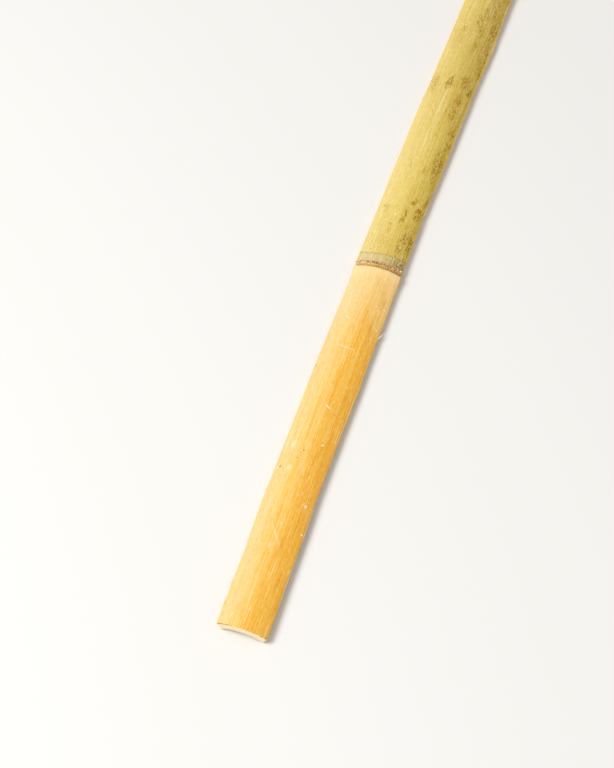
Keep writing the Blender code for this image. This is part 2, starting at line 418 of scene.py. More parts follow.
class Shade:
    """A value that changes over a surface. Reckoning with it adds the nodes that work it out."""

    def __init__(self, tree, socket=None):
        self.tree = tree
        self.socket = socket

    def node(self, kind, settings=None, values=None, output=0):
        """A node of any kind, with its settings first and then the values or links of its sockets."""
        made = self.tree.nodes.new(kind)
        for name, setting in (settings or {}).items():
            if name == "stops":
                for number, (position, colour) in enumerate(setting):
                    stops = made.color_ramp.elements
                    stop = stops[number] if number < 2 else stops.new(1.0)
                    stop.position = position
                    stop.color = colour
            else:
                setattr(made, name, setting)
        for name, value in (values or {}).items():
            if isinstance(value, Shade):
                self.tree.links.new(value.socket, made.inputs[name])
            else:
                made.inputs[name].default_value = value
        return Shade(self.tree, made.outputs[output])

    def output(self, name):
        """Another output of the node that this value comes from."""
        return Shade(self.tree, self.socket.node.outputs[name])

    def math(self, operation, *values):
        return self.node("ShaderNodeMath", {"operation": operation}, dict(enumerate(values)))

    def vector(self, operation, *values, output=0):
        settings = {"operation": operation}
        return self.node("ShaderNodeVectorMath", settings, dict(enumerate(values)), output)

    def __add__(self, other):
        return self.math("ADD", self, other)

    def __sub__(self, other):
        return self.math("SUBTRACT", self, other)

    def __mul__(self, other):
        return self.math("MULTIPLY", self, other)

    def __truediv__(self, other):
        return self.math("DIVIDE", self, other)

    def __rsub__(self, other):
        return self.math("SUBTRACT", other, self)

    __radd__ = __add__
    __rmul__ = __mul__

    def rise(self, low, high):
        """0 below low, 1 above high, smooth between. With low above high it falls."""
        values = {"Value": self, "From Min": low, "From Max": high}
        return self.node("ShaderNodeMapRange", {"interpolation_type": "SMOOTHSTEP"}, values)

    def within(self, outer, inner):
        """1 as far as inner from 0 on both sides, falling to 0 at outer."""
        return self.rise(-outer, -inner) * self.rise(outer, inner)

    def colours(self, *stops):
        """The colour that this value reaches, by colours at places from 0 to 1."""
        return self.node("ShaderNodeValToRGB", {"stops": stops}, {0: self})

    def under(self, colour, share, how="MIX"):
        """This colour with another laid over it, by a share from 0 to 1."""
        values = {0: share, MIX_A: self, MIX_B: colour}
        return self.node("ShaderNodeMix", {"data_type": "RGBA", "blend_type": how}, values, MIX_COLOUR)

    def scaled(self, sizes, seed):
        """This place in the grain counted in patches of three sizes, moved off by a seed."""
        scale = tuple(1 / size for size in sizes)
        start = tuple(seed * step for step in SEED_STEP)
        return self.vector("MULTIPLY_ADD", self, scale, start)

    def grown(self, length, width, seed, detail=2.0):
        """Noise about 0.5 at this place in the grain, in patches of a length and a width."""
        values = {"Vector": self.scaled((length, width, width), seed), "Scale": 1.0, "Detail": detail}
        return self.node("ShaderNodeTexNoise", {}, values)

    def turned(self, slant):
        """This place in the grain, turned on the surface by an angle to the fibres."""
        values = {"Vector": self, "Angle": slant}
        return self.node("ShaderNodeVectorRotate", {"rotation_type": "Z_AXIS"}, values)

    def spot(self, along, arc, length, width, slant=0.0):
        """1 at a place on the skin, in millimetres, falling to 0 at the rim of an oval round it."""
        moved = self.vector("SUBTRACT", self, (along * MM, arc * MM, 0))
        scale = (2 / (length * MM), 2 / (width * MM), 0)
        sized = self.vector("MULTIPLY", moved.turned(slant), scale)
        return self.vector("LENGTH", sized, output="Value").rise(1.0, 0.25)

    def line(self, start, end, width):
        """1 along a line between two places on the skin, in millimetres, falling to 0 beside it."""
        along, arc = end[0] - start[0], end[1] - start[1]
        middle = (start[0] + end[0]) / 2, (start[1] + end[1]) / 2
        return self.spot(*middle, math.hypot(along, arc), width, -math.atan2(arc, along))

    def dots(self, spacing, size, kept, seed, length):
        """Dots up to a size across and some times as long, in a share of cells of a spacing."""
        values = {"Vector": self.scaled((spacing * length, spacing, spacing), seed), "Scale": 1.0}
        cell = self.node("ShaderNodeTexVoronoi", {"voronoi_dimensions": "2D"}, values)
        chance = cell.node("ShaderNodeSeparateColor", {}, {0: cell.output("Color")})
        reach = size / 2 / spacing
        kept_cell = chance.rise(1 - kept, 1.02 - kept)
        return (cell / (chance.output("Green") * 0.6 + 0.4)).rise(reach, 0.55 * reach) * kept_cell


def paint(red, green, blue):
    """A colour given as it looks on a screen, from 0 to 255."""
    linear = [((c / 255 + 0.055) / 1.055) ** 2.4 if c > 10 else c / 3295 for c in (red, green, blue)]
    return (*linear, 1.0)


def new_finish(name, roughness, specular):
    """A material with its main shader, and the place in the grain that its pattern is read from."""
    finish = bpy.data.materials.new(name)
    finish.use_nodes = True
    surface = finish.node_tree.nodes["Principled BSDF"]
    surface.inputs["Roughness"].default_value = roughness
    surface.inputs["Specular IOR Level"].default_value = specular
    start = Shade(finish.node_tree)
    grain_place = start.node("ShaderNodeAttribute", {"attribute_name": "grain"}, output="Vector")
    return finish, surface, grain_place


def parts_of(grain_place):
    """Along the culm, round it and under the skin, as three values."""
    along = grain_place.node("ShaderNodeSeparateXYZ", {}, {0: grain_place})
    return along, along.output("Y"), along.output("Z")


def finish_with(surface, colour, height, strength, roughness=None):
    """Link a surface's colour, its relief as a bump, and its roughness where that varies."""
    tree = colour.tree
    tree.links.new(colour.socket, surface.inputs["Base Color"])
    if roughness is not None:
        tree.links.new(roughness.socket, surface.inputs["Roughness"])
    values = {"Strength": strength, "Distance": RELIEF, "Height": height}
    bump = colour.node("ShaderNodeBump", {}, values)
    tree.links.new(bump.socket, surface.inputs["Normal"])


skin, surface, at = new_finish("bamboo_skin", 0.42, specular=0.22)
along, round_culm, _ = parts_of(at)
side = round_culm / (HALF_ANGLE * CULM_RADIUS)
above_node = along - TIP_NODE
past_tip_scar = above_node.rise(-0.3 * MM, 0.3 * MM)
past_butt_scar = (along - BUTT_NODE).rise(-0.3 * MM, 0.3 * MM)

# Ground colours from the left edge over the crown to the right edge, frayed by the fibres' streaks,
# paler to the left partly in the skin's own colour and partly as a painted sheen. The length above the
# tip node is orange, the one between the nodes green, and the lowest one straw.
broad = at.grown(150 * MM, 9 * MM, 1) - 0.5
band = at.grown(210 * MM, 3.2 * MM, 2) - 0.5
streak = at.grown(95 * MM, 1.1 * MM, 3) - 0.5
frayed = side * 0.5 + 0.5 + broad * 0.34 + band * 0.60 + streak * 0.80
orange = frayed.colours(
    (0.10, paint(235, 206, 140)), (0.36, paint(242, 205, 122)), (0.56, paint(242, 193, 87)),
    (0.76, paint(239, 179, 54)), (1.0, paint(231, 165, 46)))
peach = frayed.colours(
    (0.10, paint(236, 212, 158)), (0.55, paint(242, 208, 138)), (0.95, paint(238, 194, 110)))
orange = orange.under(peach, (above_node + broad * 60 * MM).rise(82 * MM, 22 * MM))
even = side * 0.5 + 0.5 + broad * 0.34 + band * 0.45 + streak * 0.45
green = even.colours(
    (0.10, paint(230, 209, 134)), (0.40, paint(228, 205, 116)), (0.66, paint(218, 192, 94)),
    (0.95, paint(190, 165, 58)))
olive = even.colours(
    (0.15, paint(224, 201, 116)), (0.55, paint(208, 184, 94)), (0.95, paint(186, 161, 66)))
green = green.under(olive, (above_node + broad * 200 * MM).rise(-95 * MM, -235 * MM))
straw = frayed.colours(
    (0.15, paint(232, 208, 140)), (0.55, paint(224, 192, 108)), (0.95, paint(206, 166, 78)))
colour = straw.under(green, past_butt_scar).under(orange, past_tip_scar)

# Fine threads of the fibres, paler and darker, with a grain of pores, and streaks of wax left in them
thread = at.grown(38 * MM, 0.42 * MM, 4)
fine = at.grown(16 * MM, 0.22 * MM, 5)
pores = at.grown(3.4 * MM, 0.75 * MM, 29, detail=6.0)
waxed = at.grown(60 * MM, 1.5 * MM, 6).rise(0.56, 0.68) * at.grown(80 * MM, 9 * MM, 7).rise(0.42, 0.58)
colour = colour.under(paint(255, 230, 156), thread.rise(0.52, 0.74) * 0.22)
dark_thread = thread.rise(0.52, 0.26) * (past_tip_scar * 0.30 + 0.42)
dark_fine = fine.rise(0.47, 0.26) * (past_tip_scar * 0.15 + 0.36)
dark_pores = pores.rise(0.50, 0.30) * (0.56 - past_tip_scar * 0.16)
colour = colour.under(paint(252, 228, 196), dark_thread, "MULTIPLY")
colour = colour.under(paint(240, 222, 190), dark_fine, "MULTIPLY")
colour = colour.under(paint(240, 216, 160), dark_pores, "MULTIPLY")
colour = colour.under(paint(255, 236, 170), pores.rise(0.52, 0.70) * 0.24)
colour = colour.under(paint(252, 240, 190), waxed * 0.42)
burnt = at.grown(24 * MM, 6 * MM, 34, detail=3.0).rise(0.54, 0.68) * past_tip_scar
colour = colour.under(paint(244, 214, 150), burnt * side.rise(-0.6, 0.5) * 0.42, "MULTIPLY")

# Mould on the green length: golden-brown specks in patches, thickest to the right and near the node.
# Each patch has its place along the culm and round it, its length and width, and how thick it is.
# Noise carries its points off by up to half of the stray, so that its rim is ragged.
PATCHES = (
    (-110, 16, 12, 8, 0.7), (-88, 5, 8, 6, 0.7), (-60, 17, 26, 10, 0.5), (-46, 10, 24, 15, 0.7),
    (-39, -15, 36, 13, 0.75), (-40, -2, 20, 10, 0.7), (-36, 16, 13, 8, 1.0), (-22, 10, 15, 7, 0.9),
    (-10, 9, 12, 7, 0.8), (-3, 9, 8, 4, 1.0), (15, 16, 11, 6, 0.9), (26, 17, 12, 6, 0.8),
    (52, 15, 24, 10, 1.0), (92, 8, 12, 5, 1.2), (90, 17, 14, 6, 0.7), (105, 14, 18, 9, 1.2),
    (105, 5, 12, 5, 1.0), (104, -12, 14, 9, 0.6), (112, 3, 14, 7, 0.6), (137, 16, 30, 8, 0.9))
STRAY = (16 * MM, 8 * MM, 0)
mouldy = 1 - past_tip_scar
swirl = at.grown(8 * MM, 3.5 * MM, 39, detail=3.0).output("Color")
strayed = at.vector("MULTIPLY_ADD", swirl, STRAY, at)
strayed = at.vector("SUBTRACT", strayed, tuple(stray / 2 for stray in STRAY))
placed = sum(strayed.spot(*oval) * thickness for *oval, thickness in PATCHES)
near_node = above_node.rise(-70 * MM, -20 * MM)
far_down = above_node.rise(-180 * MM, -260 * MM)
patch = at.grown(30 * MM, 7.0 * MM, 8, detail=3.0) + side * 0.08 + (near_node + far_down) * 0.06
patch = patch + placed * 0.20 - above_node.rise(-310 * MM, -270 * MM) * 0.06
cluster = patch.rise(0.54, 0.64)
stroke = at.grown(4.4 * MM, 0.9 * MM, 9, detail=3.0).rise(0.48, 0.60)
speckle = at.grown(1.5 * MM, 0.8 * MM, 11, detail=3.0).rise(0.44, 0.58)
stain = (at.grown(52 * MM, 8 * MM, 10) + side * 0.10).rise(0.50, 0.72)
mould = stroke * speckle * patch.rise(0.58, 0.70) * mouldy
freckle = at.grown(1.5 * MM, 0.75 * MM, 30, detail=3.0).rise(0.50, 0.62)
colour = colour.under(paint(198, 162, 62), stain * mouldy * 0.22)
freckled = freckle * (stain * 0.30 + cluster * 0.70 + near_node * 0.45)
colour = colour.under(paint(168, 128, 28), freckled * mouldy * 0.55)
colour = colour.under(paint(164, 124, 26), cluster * stroke * mouldy * 0.40)
colour = colour.under(paint(120, 88, 0), mould * 0.68)
grime = at.dots(1.7 * MM, 1.35 * MM, 0.80, 36, length=2.1)
grime = grime + at.grown(3.2 * MM, 0.8 * MM, 37).rise(0.54, 0.62)
golden = (placed + (patch - 0.5) * 1.1).rise(0.20, 0.65) * placed.rise(0.05, 0.4) * mouldy
tinge = at.grown(5 * MM, 1.8 * MM, 38, detail=4.0).rise(0.40, 0.60)
colour = colour.under(paint(196, 152, 40), placed * tinge * mouldy * 0.58)
colour = colour.under(paint(142, 100, 0), golden * grime.rise(0.0, 0.85) * (placed * 0.45 + 0.38))
sooty = stroke * speckle * near_node * side.rise(0.30, 0.90) * mouldy
colour = colour.under(paint(98, 80, 40), sooty * 0.75)
mildewed = (side * 0.5 + near_node * 0.3 + cluster * 0.4).rise(0.2, 0.8)
mildew = at.dots(3.8 * MM, 1.1 * MM, 0.26, 12, length=1.6) * mildewed
colour = colour.under(paint(104, 76, 18), mildew * mouldy * 0.55)

# Knocks of handling: water marks, pale scuffs, thin scratches across the grain, and a few specks.
# Most of those above the butt node are set one by one. A line has a start, an end, a width and a
# strength, and a spot has a place along and round the culm, a length, a width and a strength.
PALE_LINES = (
    ((-113.2, -15.9), (-111.6, -5.8), 1.0, 0.55), ((-118.7, 3.7), (-118.4, 7.3), 1.0, 0.4),
    ((117.2, -10.8), (117.5, -4.9), 0.9, 0.45), ((246, -9.5), (248.7, 8.2), 1.1, 0.55),
    ((302.2, 0.0), (306, 5.0), 1.2, 1.0), ((202.9, 14.0), (203.6, 17.8), 1.0, 0.6),
    ((203.0, 7.2), (202.7, 12.5), 1.0, 0.55), ((222.8, 13.7), (224, 17.7), 1.3, 0.55),
    ((217, -11.7), (222, -3.2), 1.2, 0.4), ((367, -18.8), (363.2, -16.2), 1.0, 0.5),
    ((413.2, 15.5), (413.8, 18.5), 1.4, 1.0), ((410, -7.5), (432, 7.0), 2.4, 0.26),
    ((480, 2.4), (486.4, -0.8), 0.8, 0.6), ((301.5, -18.6), (303.4, -15.8), 1.1, 0.5))
PALE_SPOTS = (
    (110, -3, 1.4, 2.6, 0.9), (94.8, 11, 1.6, 1.6, 0.8), (337.7, 8.8, 2.2, 2.0, 1.0),
    (391, 12.4, 3.4, 3.0, 0.6), (346.6, -4.0, 1.5, 1.5, 0.9), (342.7, -11.4, 11, 6, 0.32),
    (363.4, -8.4, 7, 6, 0.3), (430, -1.6, 8, 5, 0.22))
BROWN_LINES = (((307.8, 5.4), (311, 12.7), 0.9, 0.5),)
BROWN_SPOTS = (
    (346.3, -2.7, 1.8, 1.6, 1.0), (268, -18.6, 4, 1.0, 1.0), (363.2, -15.6, 3.2, 1.3, 1.0),
    (353.7, -5.3, 1.4, 1.0, 1.0))
pale = sum(at.line(*line) * strength for *line, strength in PALE_LINES)
pale = pale + sum(at.spot(*oval) * strength for *oval, strength in PALE_SPOTS)
brown = sum(at.spot(*oval) * strength for *oval, strength in BROWN_SPOTS)
brown = brown + sum(at.line(*line) * strength for *line, strength in BROWN_LINES)
colour = colour.under(paint(255, 247, 226), pale)
colour = colour.under(paint(110, 66, 34), brown * 0.85)
scattered = along.rise(-120 * MM, -160 * MM) * 0.85 + 0.15
mark = at.dots(34 * MM, 5.5 * MM, 0.34, 27, length=1.6)
colour = colour.under(paint(255, 226, 160), mark * past_tip_scar * 0.12)
scuff = at.grown(9 * MM, 3.4 * MM, 13, detail=3.0).rise(0.64, 0.73)
scuff = scuff * at.grown(2.4 * MM, 0.5 * MM, 14).rise(0.36, 0.6)
colour = colour.under(paint(255, 238, 196), scuff * 0.5)
SCRATCHES = (  # slant to the fibres, length, width and seed
    (-0.55, 12 * MM, 0.60 * MM, 15), (-1.0, 9 * MM, 0.55 * MM, 16), (-1.5, 15 * MM, 0.60 * MM, 17))
scratch = sum(at.turned(slant).grown(*size, detail=0.0).rise(0.80, 0.84) for slant, *size in SCRATCHES)
scratch = scratch * at.grown(40 * MM, 12 * MM, 18).rise(0.50, 0.60) * scattered
colour = colour.under(paint(255, 244, 212), scratch.rise(0.0, 0.9) * 0.62)
dark_speck = at.dots(15 * MM, 1.1 * MM, 0.13, 19, length=1.3) * scattered
white_speck = at.dots(23 * MM, 1.2 * MM, 0.10, 20, length=1.2) * scattered
colour = colour.under(paint(84, 56, 30), dark_speck * 0.8)
colour = colour.under(paint(255, 250, 236), white_speck * 0.85)

# A painted highlight along both arrises, stronger on the right one, and painted shade in ragged
# patches along the rind's edge at each sawn end
arris_highlight = side.rise(0.95, 0.97) + side.rise(-0.955, -0.975) * 0.6
colour = colour.under(paint(252, 210, 84), arris_highlight * 0.45)
# painted shade in ragged patches along the rind's edge at each sawn end
sawn_rim = along.rise(TIP_END - 1.0 * MM, TIP_END - 0.2 * MM)
sawn_rim = sawn_rim + along.rise(BUTT_END + 1.0 * MM, BUTT_END + 0.2 * MM)
painted_end_shade = (at.grown(3.0 * MM, 3.4 * MM, 35, detail=3.0) - side * 0.05).rise(0.50, 0.58)
colour = colour.under(paint(132, 84, 36), sawn_rim * painted_end_shade * 0.75)

# The rings: a band of grey wax under the scar, the torn scar, the pitted hollow, and a painted highlight
# on the ridge's crest.
# The weathered side of a ring is the right one at the tip node and the left one at the butt node.
for node, turn in ((TIP_NODE, 1), (BUTT_NODE, -1)):
    lean = side * turn
    distance = along - node
    ragged = distance + (at.grown(9 * MM, 1.6 * MM, 21, detail=3.0) - 0.5) * 3.2 * MM
    wax = ragged.rise(-9.9 * MM, -9.0 * MM) * distance.rise(-0.9 * MM, -1.7 * MM)
    border = ragged.rise(-11.0 * MM, -9.9 * MM) * ragged.rise(-8.7 * MM, -9.5 * MM)
    smear = at.grown(5 * MM, 0.9 * MM, 22).rise(0.42, 0.66)
    wax_colour = (lean * 0.5 + 0.5 + (smear - 0.5) * 0.2).colours(
        (0.0, paint(214, 196, 138)), (0.55, paint(200, 180, 120)), (0.95, paint(160, 142, 86)))
    colour = colour.under(wax_colour, wax * (smear * 0.35 + 0.62))
    colour = colour.under(paint(158, 136, 70), border * (smear * 0.4 + 0.3))
    soot = at.grown(2.6 * MM, 0.8 * MM, 23, detail=3.0).rise(0.44, 0.60)
    soot = soot * (lean + smear * 0.4).rise(0.20, 0.90)
    soot = soot * distance.rise(-13 * MM, -6 * MM) * distance.rise(0, -1 * MM)
    colour = colour.under(paint(96, 80, 50), soot * 0.8)
    bloom = at.grown(6 * MM, 0.8 * MM, 28).rise(0.52, 0.68) * wax
    colour = colour.under(paint(238, 228, 190), bloom * 0.45)
    under_lip = distance.rise(-2.0 * MM, -1.2 * MM) * distance.rise(0, -0.5 * MM)
    colour = colour.under(paint(192, 150, 60), under_lip * 0.6)
    lip = distance + (at.grown(2.6 * MM, 1.1 * MM, 24, detail=3.0) - 0.5) * 1.6 * MM
    scar = lip.rise(-0.8 * MM, -0.4 * MM) * lip.rise(0.9 * MM, 0.5 * MM)
    torn = at.grown(0.8 * MM, 1.7 * MM, 25, detail=3.0) + (0.6 - lean * lean * 1.9 + lean * 0.9) * 0.06
    scar_colour = torn.colours(
        (0.38, paint(255, 238, 208)), (0.47, paint(226, 180, 140)), (0.53, paint(150, 100, 78)),
        (0.64, paint(84, 54, 46)))
    colour = colour.under(scar_colour, scar)
    pale_lip = lip.rise(-1.15 * MM, -0.85 * MM) * lip.rise(-0.35 * MM, -0.60 * MM)
    colour = colour.under(paint(244, 208, 182), pale_lip * (smear * 0.5 + 0.35))
    tilted = distance - lean * 0.5 * MM
    hollow = distance.rise(0.4 * MM, 0.9 * MM) * tilted.rise(5.0 * MM, 4.0 * MM)
    pit = at.grown(0.7 * MM, 0.75 * MM, 26, detail=4.0) + lean * 0.045
    hollow_colour = pit.colours(
        (0.36, paint(230, 198, 124)), (0.48, paint(204, 160, 76)), (0.57, paint(156, 112, 52)),
        (0.68, paint(80, 54, 32)))
    colour = colour.under(hollow_colour, hollow * 0.92)
    rim = tilted.rise(3.9 * MM, 4.6 * MM) * tilted.rise(5.6 * MM, 4.9 * MM)
    colour = colour.under(paint(150, 106, 50), rim * pit.rise(0.44, 0.56) * 0.6)
    # a painted highlight along the crest of the ridge
    crest_highlight = distance.rise(4.8 * MM, 6.2 * MM) * distance.rise(15 * MM, 7.5 * MM)
    colour = colour.under(paint(246, 216, 160), crest_highlight * 0.55)

roughness = 0.38 + thread * 0.16 + mould * 0.3 + scratch * 0.2
height = thread * 0.5 + fine * 0.4 - mould * 0.5 - scratch * 0.5 - dark_speck
finish_with(surface, colour, height, 0.35, roughness)


# Finish of the split edges: bare wood, cream where it tore clean, with the brown lines of the vessels
# that run along it, crowded under the rind. The rind shows as a thin golden line at the outer arris.

split_edge, surface, at = new_finish("split_edge", 0.7, specular=0.25)
along, _, depth = parts_of(at)
vessel = at.grown(80 * MM, 0.30 * MM, 31, detail=3.0)
strand = at.grown(46 * MM, 0.95 * MM, 32)
shred = at.grown(11 * MM, 0.22 * MM, 33, detail=3.0)
crowded = depth.rise(5.2 * MM, 0.8 * MM) * 0.14
colour = (strand * 0.6 + shred * 0.4).colours(
    (0.34, paint(255, 242, 208)), (0.50, paint(252, 226, 170)), (0.66, paint(230, 186, 118)))
colour = colour.under(paint(186, 132, 66), (vessel + crowded).rise(0.56, 0.72) * 0.55)
colour = colour.under(paint(255, 248, 226), shred.rise(0.56, 0.70) * 0.45)
colour = colour.under(paint(226, 188, 96), depth.rise(0.30 * MM, 0.14 * MM) * 0.8)
for node in NODES:
    distance = along - node - STUMP_AT
    knot = distance.within(8 * MM, 3 * MM)
    colour = colour.under(paint(206, 150, 84), knot * (strand * 0.9 + 0.1) * 0.7)
finish_with(surface, colour, vessel * 0.6 + strand * 0.6 + shred, 0.7)


# Finish of the inside: the thin pale lining of the hollow culm, smooth and finely streaked, stained
# near the nodes. The planed stumps show the tan, spongy wood of the partitions, darker at their rims.

lining, surface, at = new_finish("lining", 0.6, specular=0.3)
along, _, depth = parts_of(at)
thread = at.grown(110 * MM, 0.7 * MM, 41)
film = at.grown(26 * MM, 3.0 * MM, 42, detail=3.0)
stain = at.grown(60 * MM, 7 * MM, 43)
colour = (thread * 0.65 + film * 0.35).colours(
    (0.34, paint(255, 244, 214)), (0.50, paint(250, 228, 180)), (0.68, paint(228, 188, 124)))
colour = colour.under(paint(214, 172, 106), stain.rise(0.56, 0.78) * 0.45)
colour = colour.under(paint(122, 86, 50), at.dots(21 * MM, 1.1 * MM, 0.22, 44, length=2.0) * 0.7)
sponge = at.grown(0.55 * MM, 0.6 * MM, 45, detail=4.0)
planed = 0
for node in NODES:
    frayed = (at.grown(2.5 * MM, 1.1 * MM, 46, detail=3.0) - 0.5) * 1.6 * MM
    distance = along - node - STUMP_AT + frayed
    near = distance.within(24 * MM, 4 * MM)
    stump = distance.within(3.9 * MM, 3.2 * MM)
    core = distance.within(2.4 * MM, 1.6 * MM)
    colour = colour.under(paint(232, 190, 124), near * 0.55)
    colour = colour.under(paint(176, 122, 66), stump * 0.6)
    colour = colour.under(paint(222, 178, 114), core * 0.7)
    planed = stump + planed
colour = colour.under(paint(126, 84, 44), planed * sponge.rise(0.52, 0.68) * 0.6)
colour = colour.under(paint(250, 222, 172), planed * sponge.rise(0.46, 0.34) * 0.5)
finish_with(surface, colour, thread * 0.6 + film * 0.5 + planed * sponge, 0.35)


# Finish of the sawn ends: cut across the fibres. Each bundle of vessels shows as a tan dot, small and
# crowded under the rind, larger and wider apart towards the inside. The saw left the face furred.

sawn_end, surface, at = new_finish("sawn_end", 0.8, specular=0.2)
_, round_culm, depth = parts_of(at)
fur = at.grown(1 * MM, 0.30 * MM, 51, detail=3.0)
stroke = (round_culm * 0.35 + depth) / (0.5 * MM)
kerf = stroke.node("ShaderNodeTexNoise", {"noise_dimensions": "1D"}, {"W": stroke, "Scale": 1.0})
colour = (fur * 0.6 + kerf * 0.4).colours((0.36, paint(242, 214, 160)), (0.50, paint(255, 238, 198)))
small = (0.30 * MM, 0.62 * MM, depth.rise(2.4 * MM, 1.2 * MM))
large = (0.55 * MM, 1.10 * MM, depth.rise(1.4 * MM, 2.6 * MM))
for size, spread, share in (small, large):
    flat = at.vector("MULTIPLY", at, (0.0, 1 / spread, 1 / spread))
    cut = {"Vector": flat, "Scale": 1.0, "Randomness": 0.7}
    cells = at.node("ShaderNodeTexVoronoi", {"voronoi_dimensions": "3D"}, cut)
    bundle = cells.rise(0.5 * size / spread + 0.14, 0.2 * size / spread) * share
    colour = colour.under(paint(204, 150, 88), bundle * 0.62)
    colour = colour.under(paint(120, 80, 46), cells.rise(0.14, 0.05) * share * 0.7)
colour = colour.under(paint(210, 164, 86), depth.rise(0.40 * MM, 0.15 * MM) * 0.75)
finish_with(surface, colour, fur + kerf * 0.4, 0.6)

for finish in (skin, split_edge, lining, sawn_end):
    slat.data.materials.append(finish)


# Splinters along both split edges. Where the split ran off the grain, thin slivers of wood stayed
# rooted in the edge and lifted off it. They taper to a point and are as pale as the torn wood.

SPLINTERS = 64
SPLINTER_LENGTHS = (7 * MM, 30 * MM)
SPLINTER_WIDTHS = (0.35 * MM, 0.85 * MM)
SPLINTER_LIFTS = (0.15 * MM, 1.3 * MM)
SPLINTER_CURLS = (-0.2 * MM, 0.9 * MM)
SPLINTER_ROOT = 0.12 * MM  # how deep a splinter is rooted in the edge
CLEAR_OF_ENDS = 20 * MM
FIBRE_SPACING = 3 * MM  # how far apart in the grain two fibres lie, so that each has its own tone
NO_FIBRE = (0.1, 0.3, 1.0)  # a direction that no fibre takes
draw = np.random.default_rng(5)


def fibre_piece(name, lines, widths, flatness, finish, sides=6):
    """A piece of closed fibres that taper along lines, rooted where their lines start."""
    spare = widths[:, :, None] / 2
    inside_box = (lines - spare > cad_box[0]).all((1, 2)) & (lines + spare < cad_box[1]).all((1, 2))
    lines, widths = lines[inside_box], widths[inside_box]
    count, steps = lines.shape[:2]
    forward = np.gradient(lines, axis=1)
    forward /= np.linalg.norm(forward, axis=-1, keepdims=True)
    beside = np.cross(forward, NO_FIBRE)
    beside /= np.linalg.norm(beside, axis=-1, keepdims=True)
    upward = np.cross(beside, forward) * flatness
    turn = math.tau * np.arange(sides) / sides
    around = beside[:, :, None] * np.cos(turn)[:, None] + upward[:, :, None] * np.sin(turn)[:, None]
    rings = lines[:, :, None] + around * widths[:, :, None, None] / 2
    points = np.concatenate([rings.reshape(-1, 3), lines[:, 0], lines[:, -1]])
    number = np.arange(count * steps * sides).reshape(count, steps, sides)
    beyond = np.roll(number, -1, axis=2)
    quads = np.stack([number[:, :-1], beyond[:, :-1], beyond[:, 1:], number[:, 1:]], -1).reshape(-1, 4)
    root = np.broadcast_to(number.size + np.arange(count)[:, None], (count, sides))
    roots = np.stack([root, beyond[:, 0], number[:, 0]], -1).reshape(-1, 3)
    tips = np.stack([root + count, number[:, -1], beyond[:, -1]], -1).reshape(-1, 3)
    length = np.linalg.norm(np.diff(lines, axis=1), axis=-1).cumsum(1)
    grown = np.concatenate([np.zeros((count, 1)), length], 1)
    fibre = np.broadcast_to(np.arange(count)[:, None] * FIBRE_SPACING, (count, steps))
    place_on = np.stack([lines[:, :, 0], fibre, grown], -1)
    grain = np.concatenate([np.repeat(place_on.reshape(-1, 3), sides, 0), place_on[:, 0], place_on[:, -1]])
    piece = add_piece(name, points, quads.tolist() + roots.tolist() + tips.tolist(), grain, sharp=75)
    piece.data.materials.append(finish)


def fibre_finish(name, pale, dark, tip):
    """Bare fibre: its colour changes from fibre to fibre and along each, and darkens to its tip."""
    finish, surface, at = new_finish(name, 0.65, specular=0.25)
    _, _, from_root = parts_of(at)
    tone = at.grown(14 * MM, 1.4 * MM, 61) * 0.6 + at.grown(5 * MM, 0.2 * MM, 62) * 0.4
    colour = tone.colours((0.36, pale), (0.62, dark)).under(tip, from_root.rise(0, 20 * MM) * 0.7)
    finish_with(surface, colour, at.grown(9 * MM, 0.12 * MM, 63), 0.4)
    return finish


along_fibre = np.linspace(0, 1, 13)
lines, widths = [], []
for splinter in range(SPLINTERS):
    edge = draw.choice((-1, 1))
    root_x = draw.uniform(BUTT_END + CLEAR_OF_ENDS, TIP_END - CLEAR_OF_ENDS)
    length = draw.uniform(*SPLINTER_LENGTHS) * draw.choice((-1, 1))
    under_skin = draw.uniform(0.03, 0.6)
    xs = np.clip(root_x + length * along_fibre, BUTT_END, TIP_END)
    on_edge, _ = wall_point(xs, edge, under_skin + 0.06 * draw.uniform(-1, 1) * along_fibre)
    lift = draw.uniform(*SPLINTER_LIFTS) * along_fibre ** 1.7 - SPLINTER_ROOT * (1 - along_fibre)
    out = np.array([0, edge * math.cos(HALF_ANGLE), -math.sin(HALF_ANGLE)])
    curl = np.array([0, 0, draw.uniform(*SPLINTER_CURLS)]) * along_fibre[:, None] ** 2
    lines.append(on_edge + shift + lift[:, None] * out + curl)
    widths.append(draw.uniform(*SPLINTER_WIDTHS) * (1 - along_fibre) ** 0.7 + 0.03 * MM)

# One long splinter stands well off each edge. It has its edge, the places of its root and its tip
# along the culm, and how far out its tip is, in millimetres.
LONG_SPLINTERS = ((1, 230, 222, 3.4), (-1, -104, -102, 2.3))
for edge, root_x, tip_x, lift in LONG_SPLINTERS:
    xs = root_x * MM + (tip_x - root_x) * MM * along_fibre
    on_edge, _ = wall_point(xs, edge, 0.12 + 0 * along_fibre)
    lines.append(on_edge + shift + (lift * along_fibre - 0.15)[:, None] * MM * np.array([0, edge, 0.15]))
    widths.append(0.75 * MM * (1 - along_fibre) ** 0.5 + 0.05 * MM)
splinter_wood = fibre_finish(
    "splinter_wood", paint(255, 244, 212), paint(246, 214, 152), paint(236, 196, 128))
fibre_piece("edge_splinters", np.array(lines), np.array(widths), 0.45, splinter_wood)


# The burr at the sawn ends. The saw pulled fibres out of the wood, and they hang from the inner
# corner and stand off the rind in a short, uneven fringe.

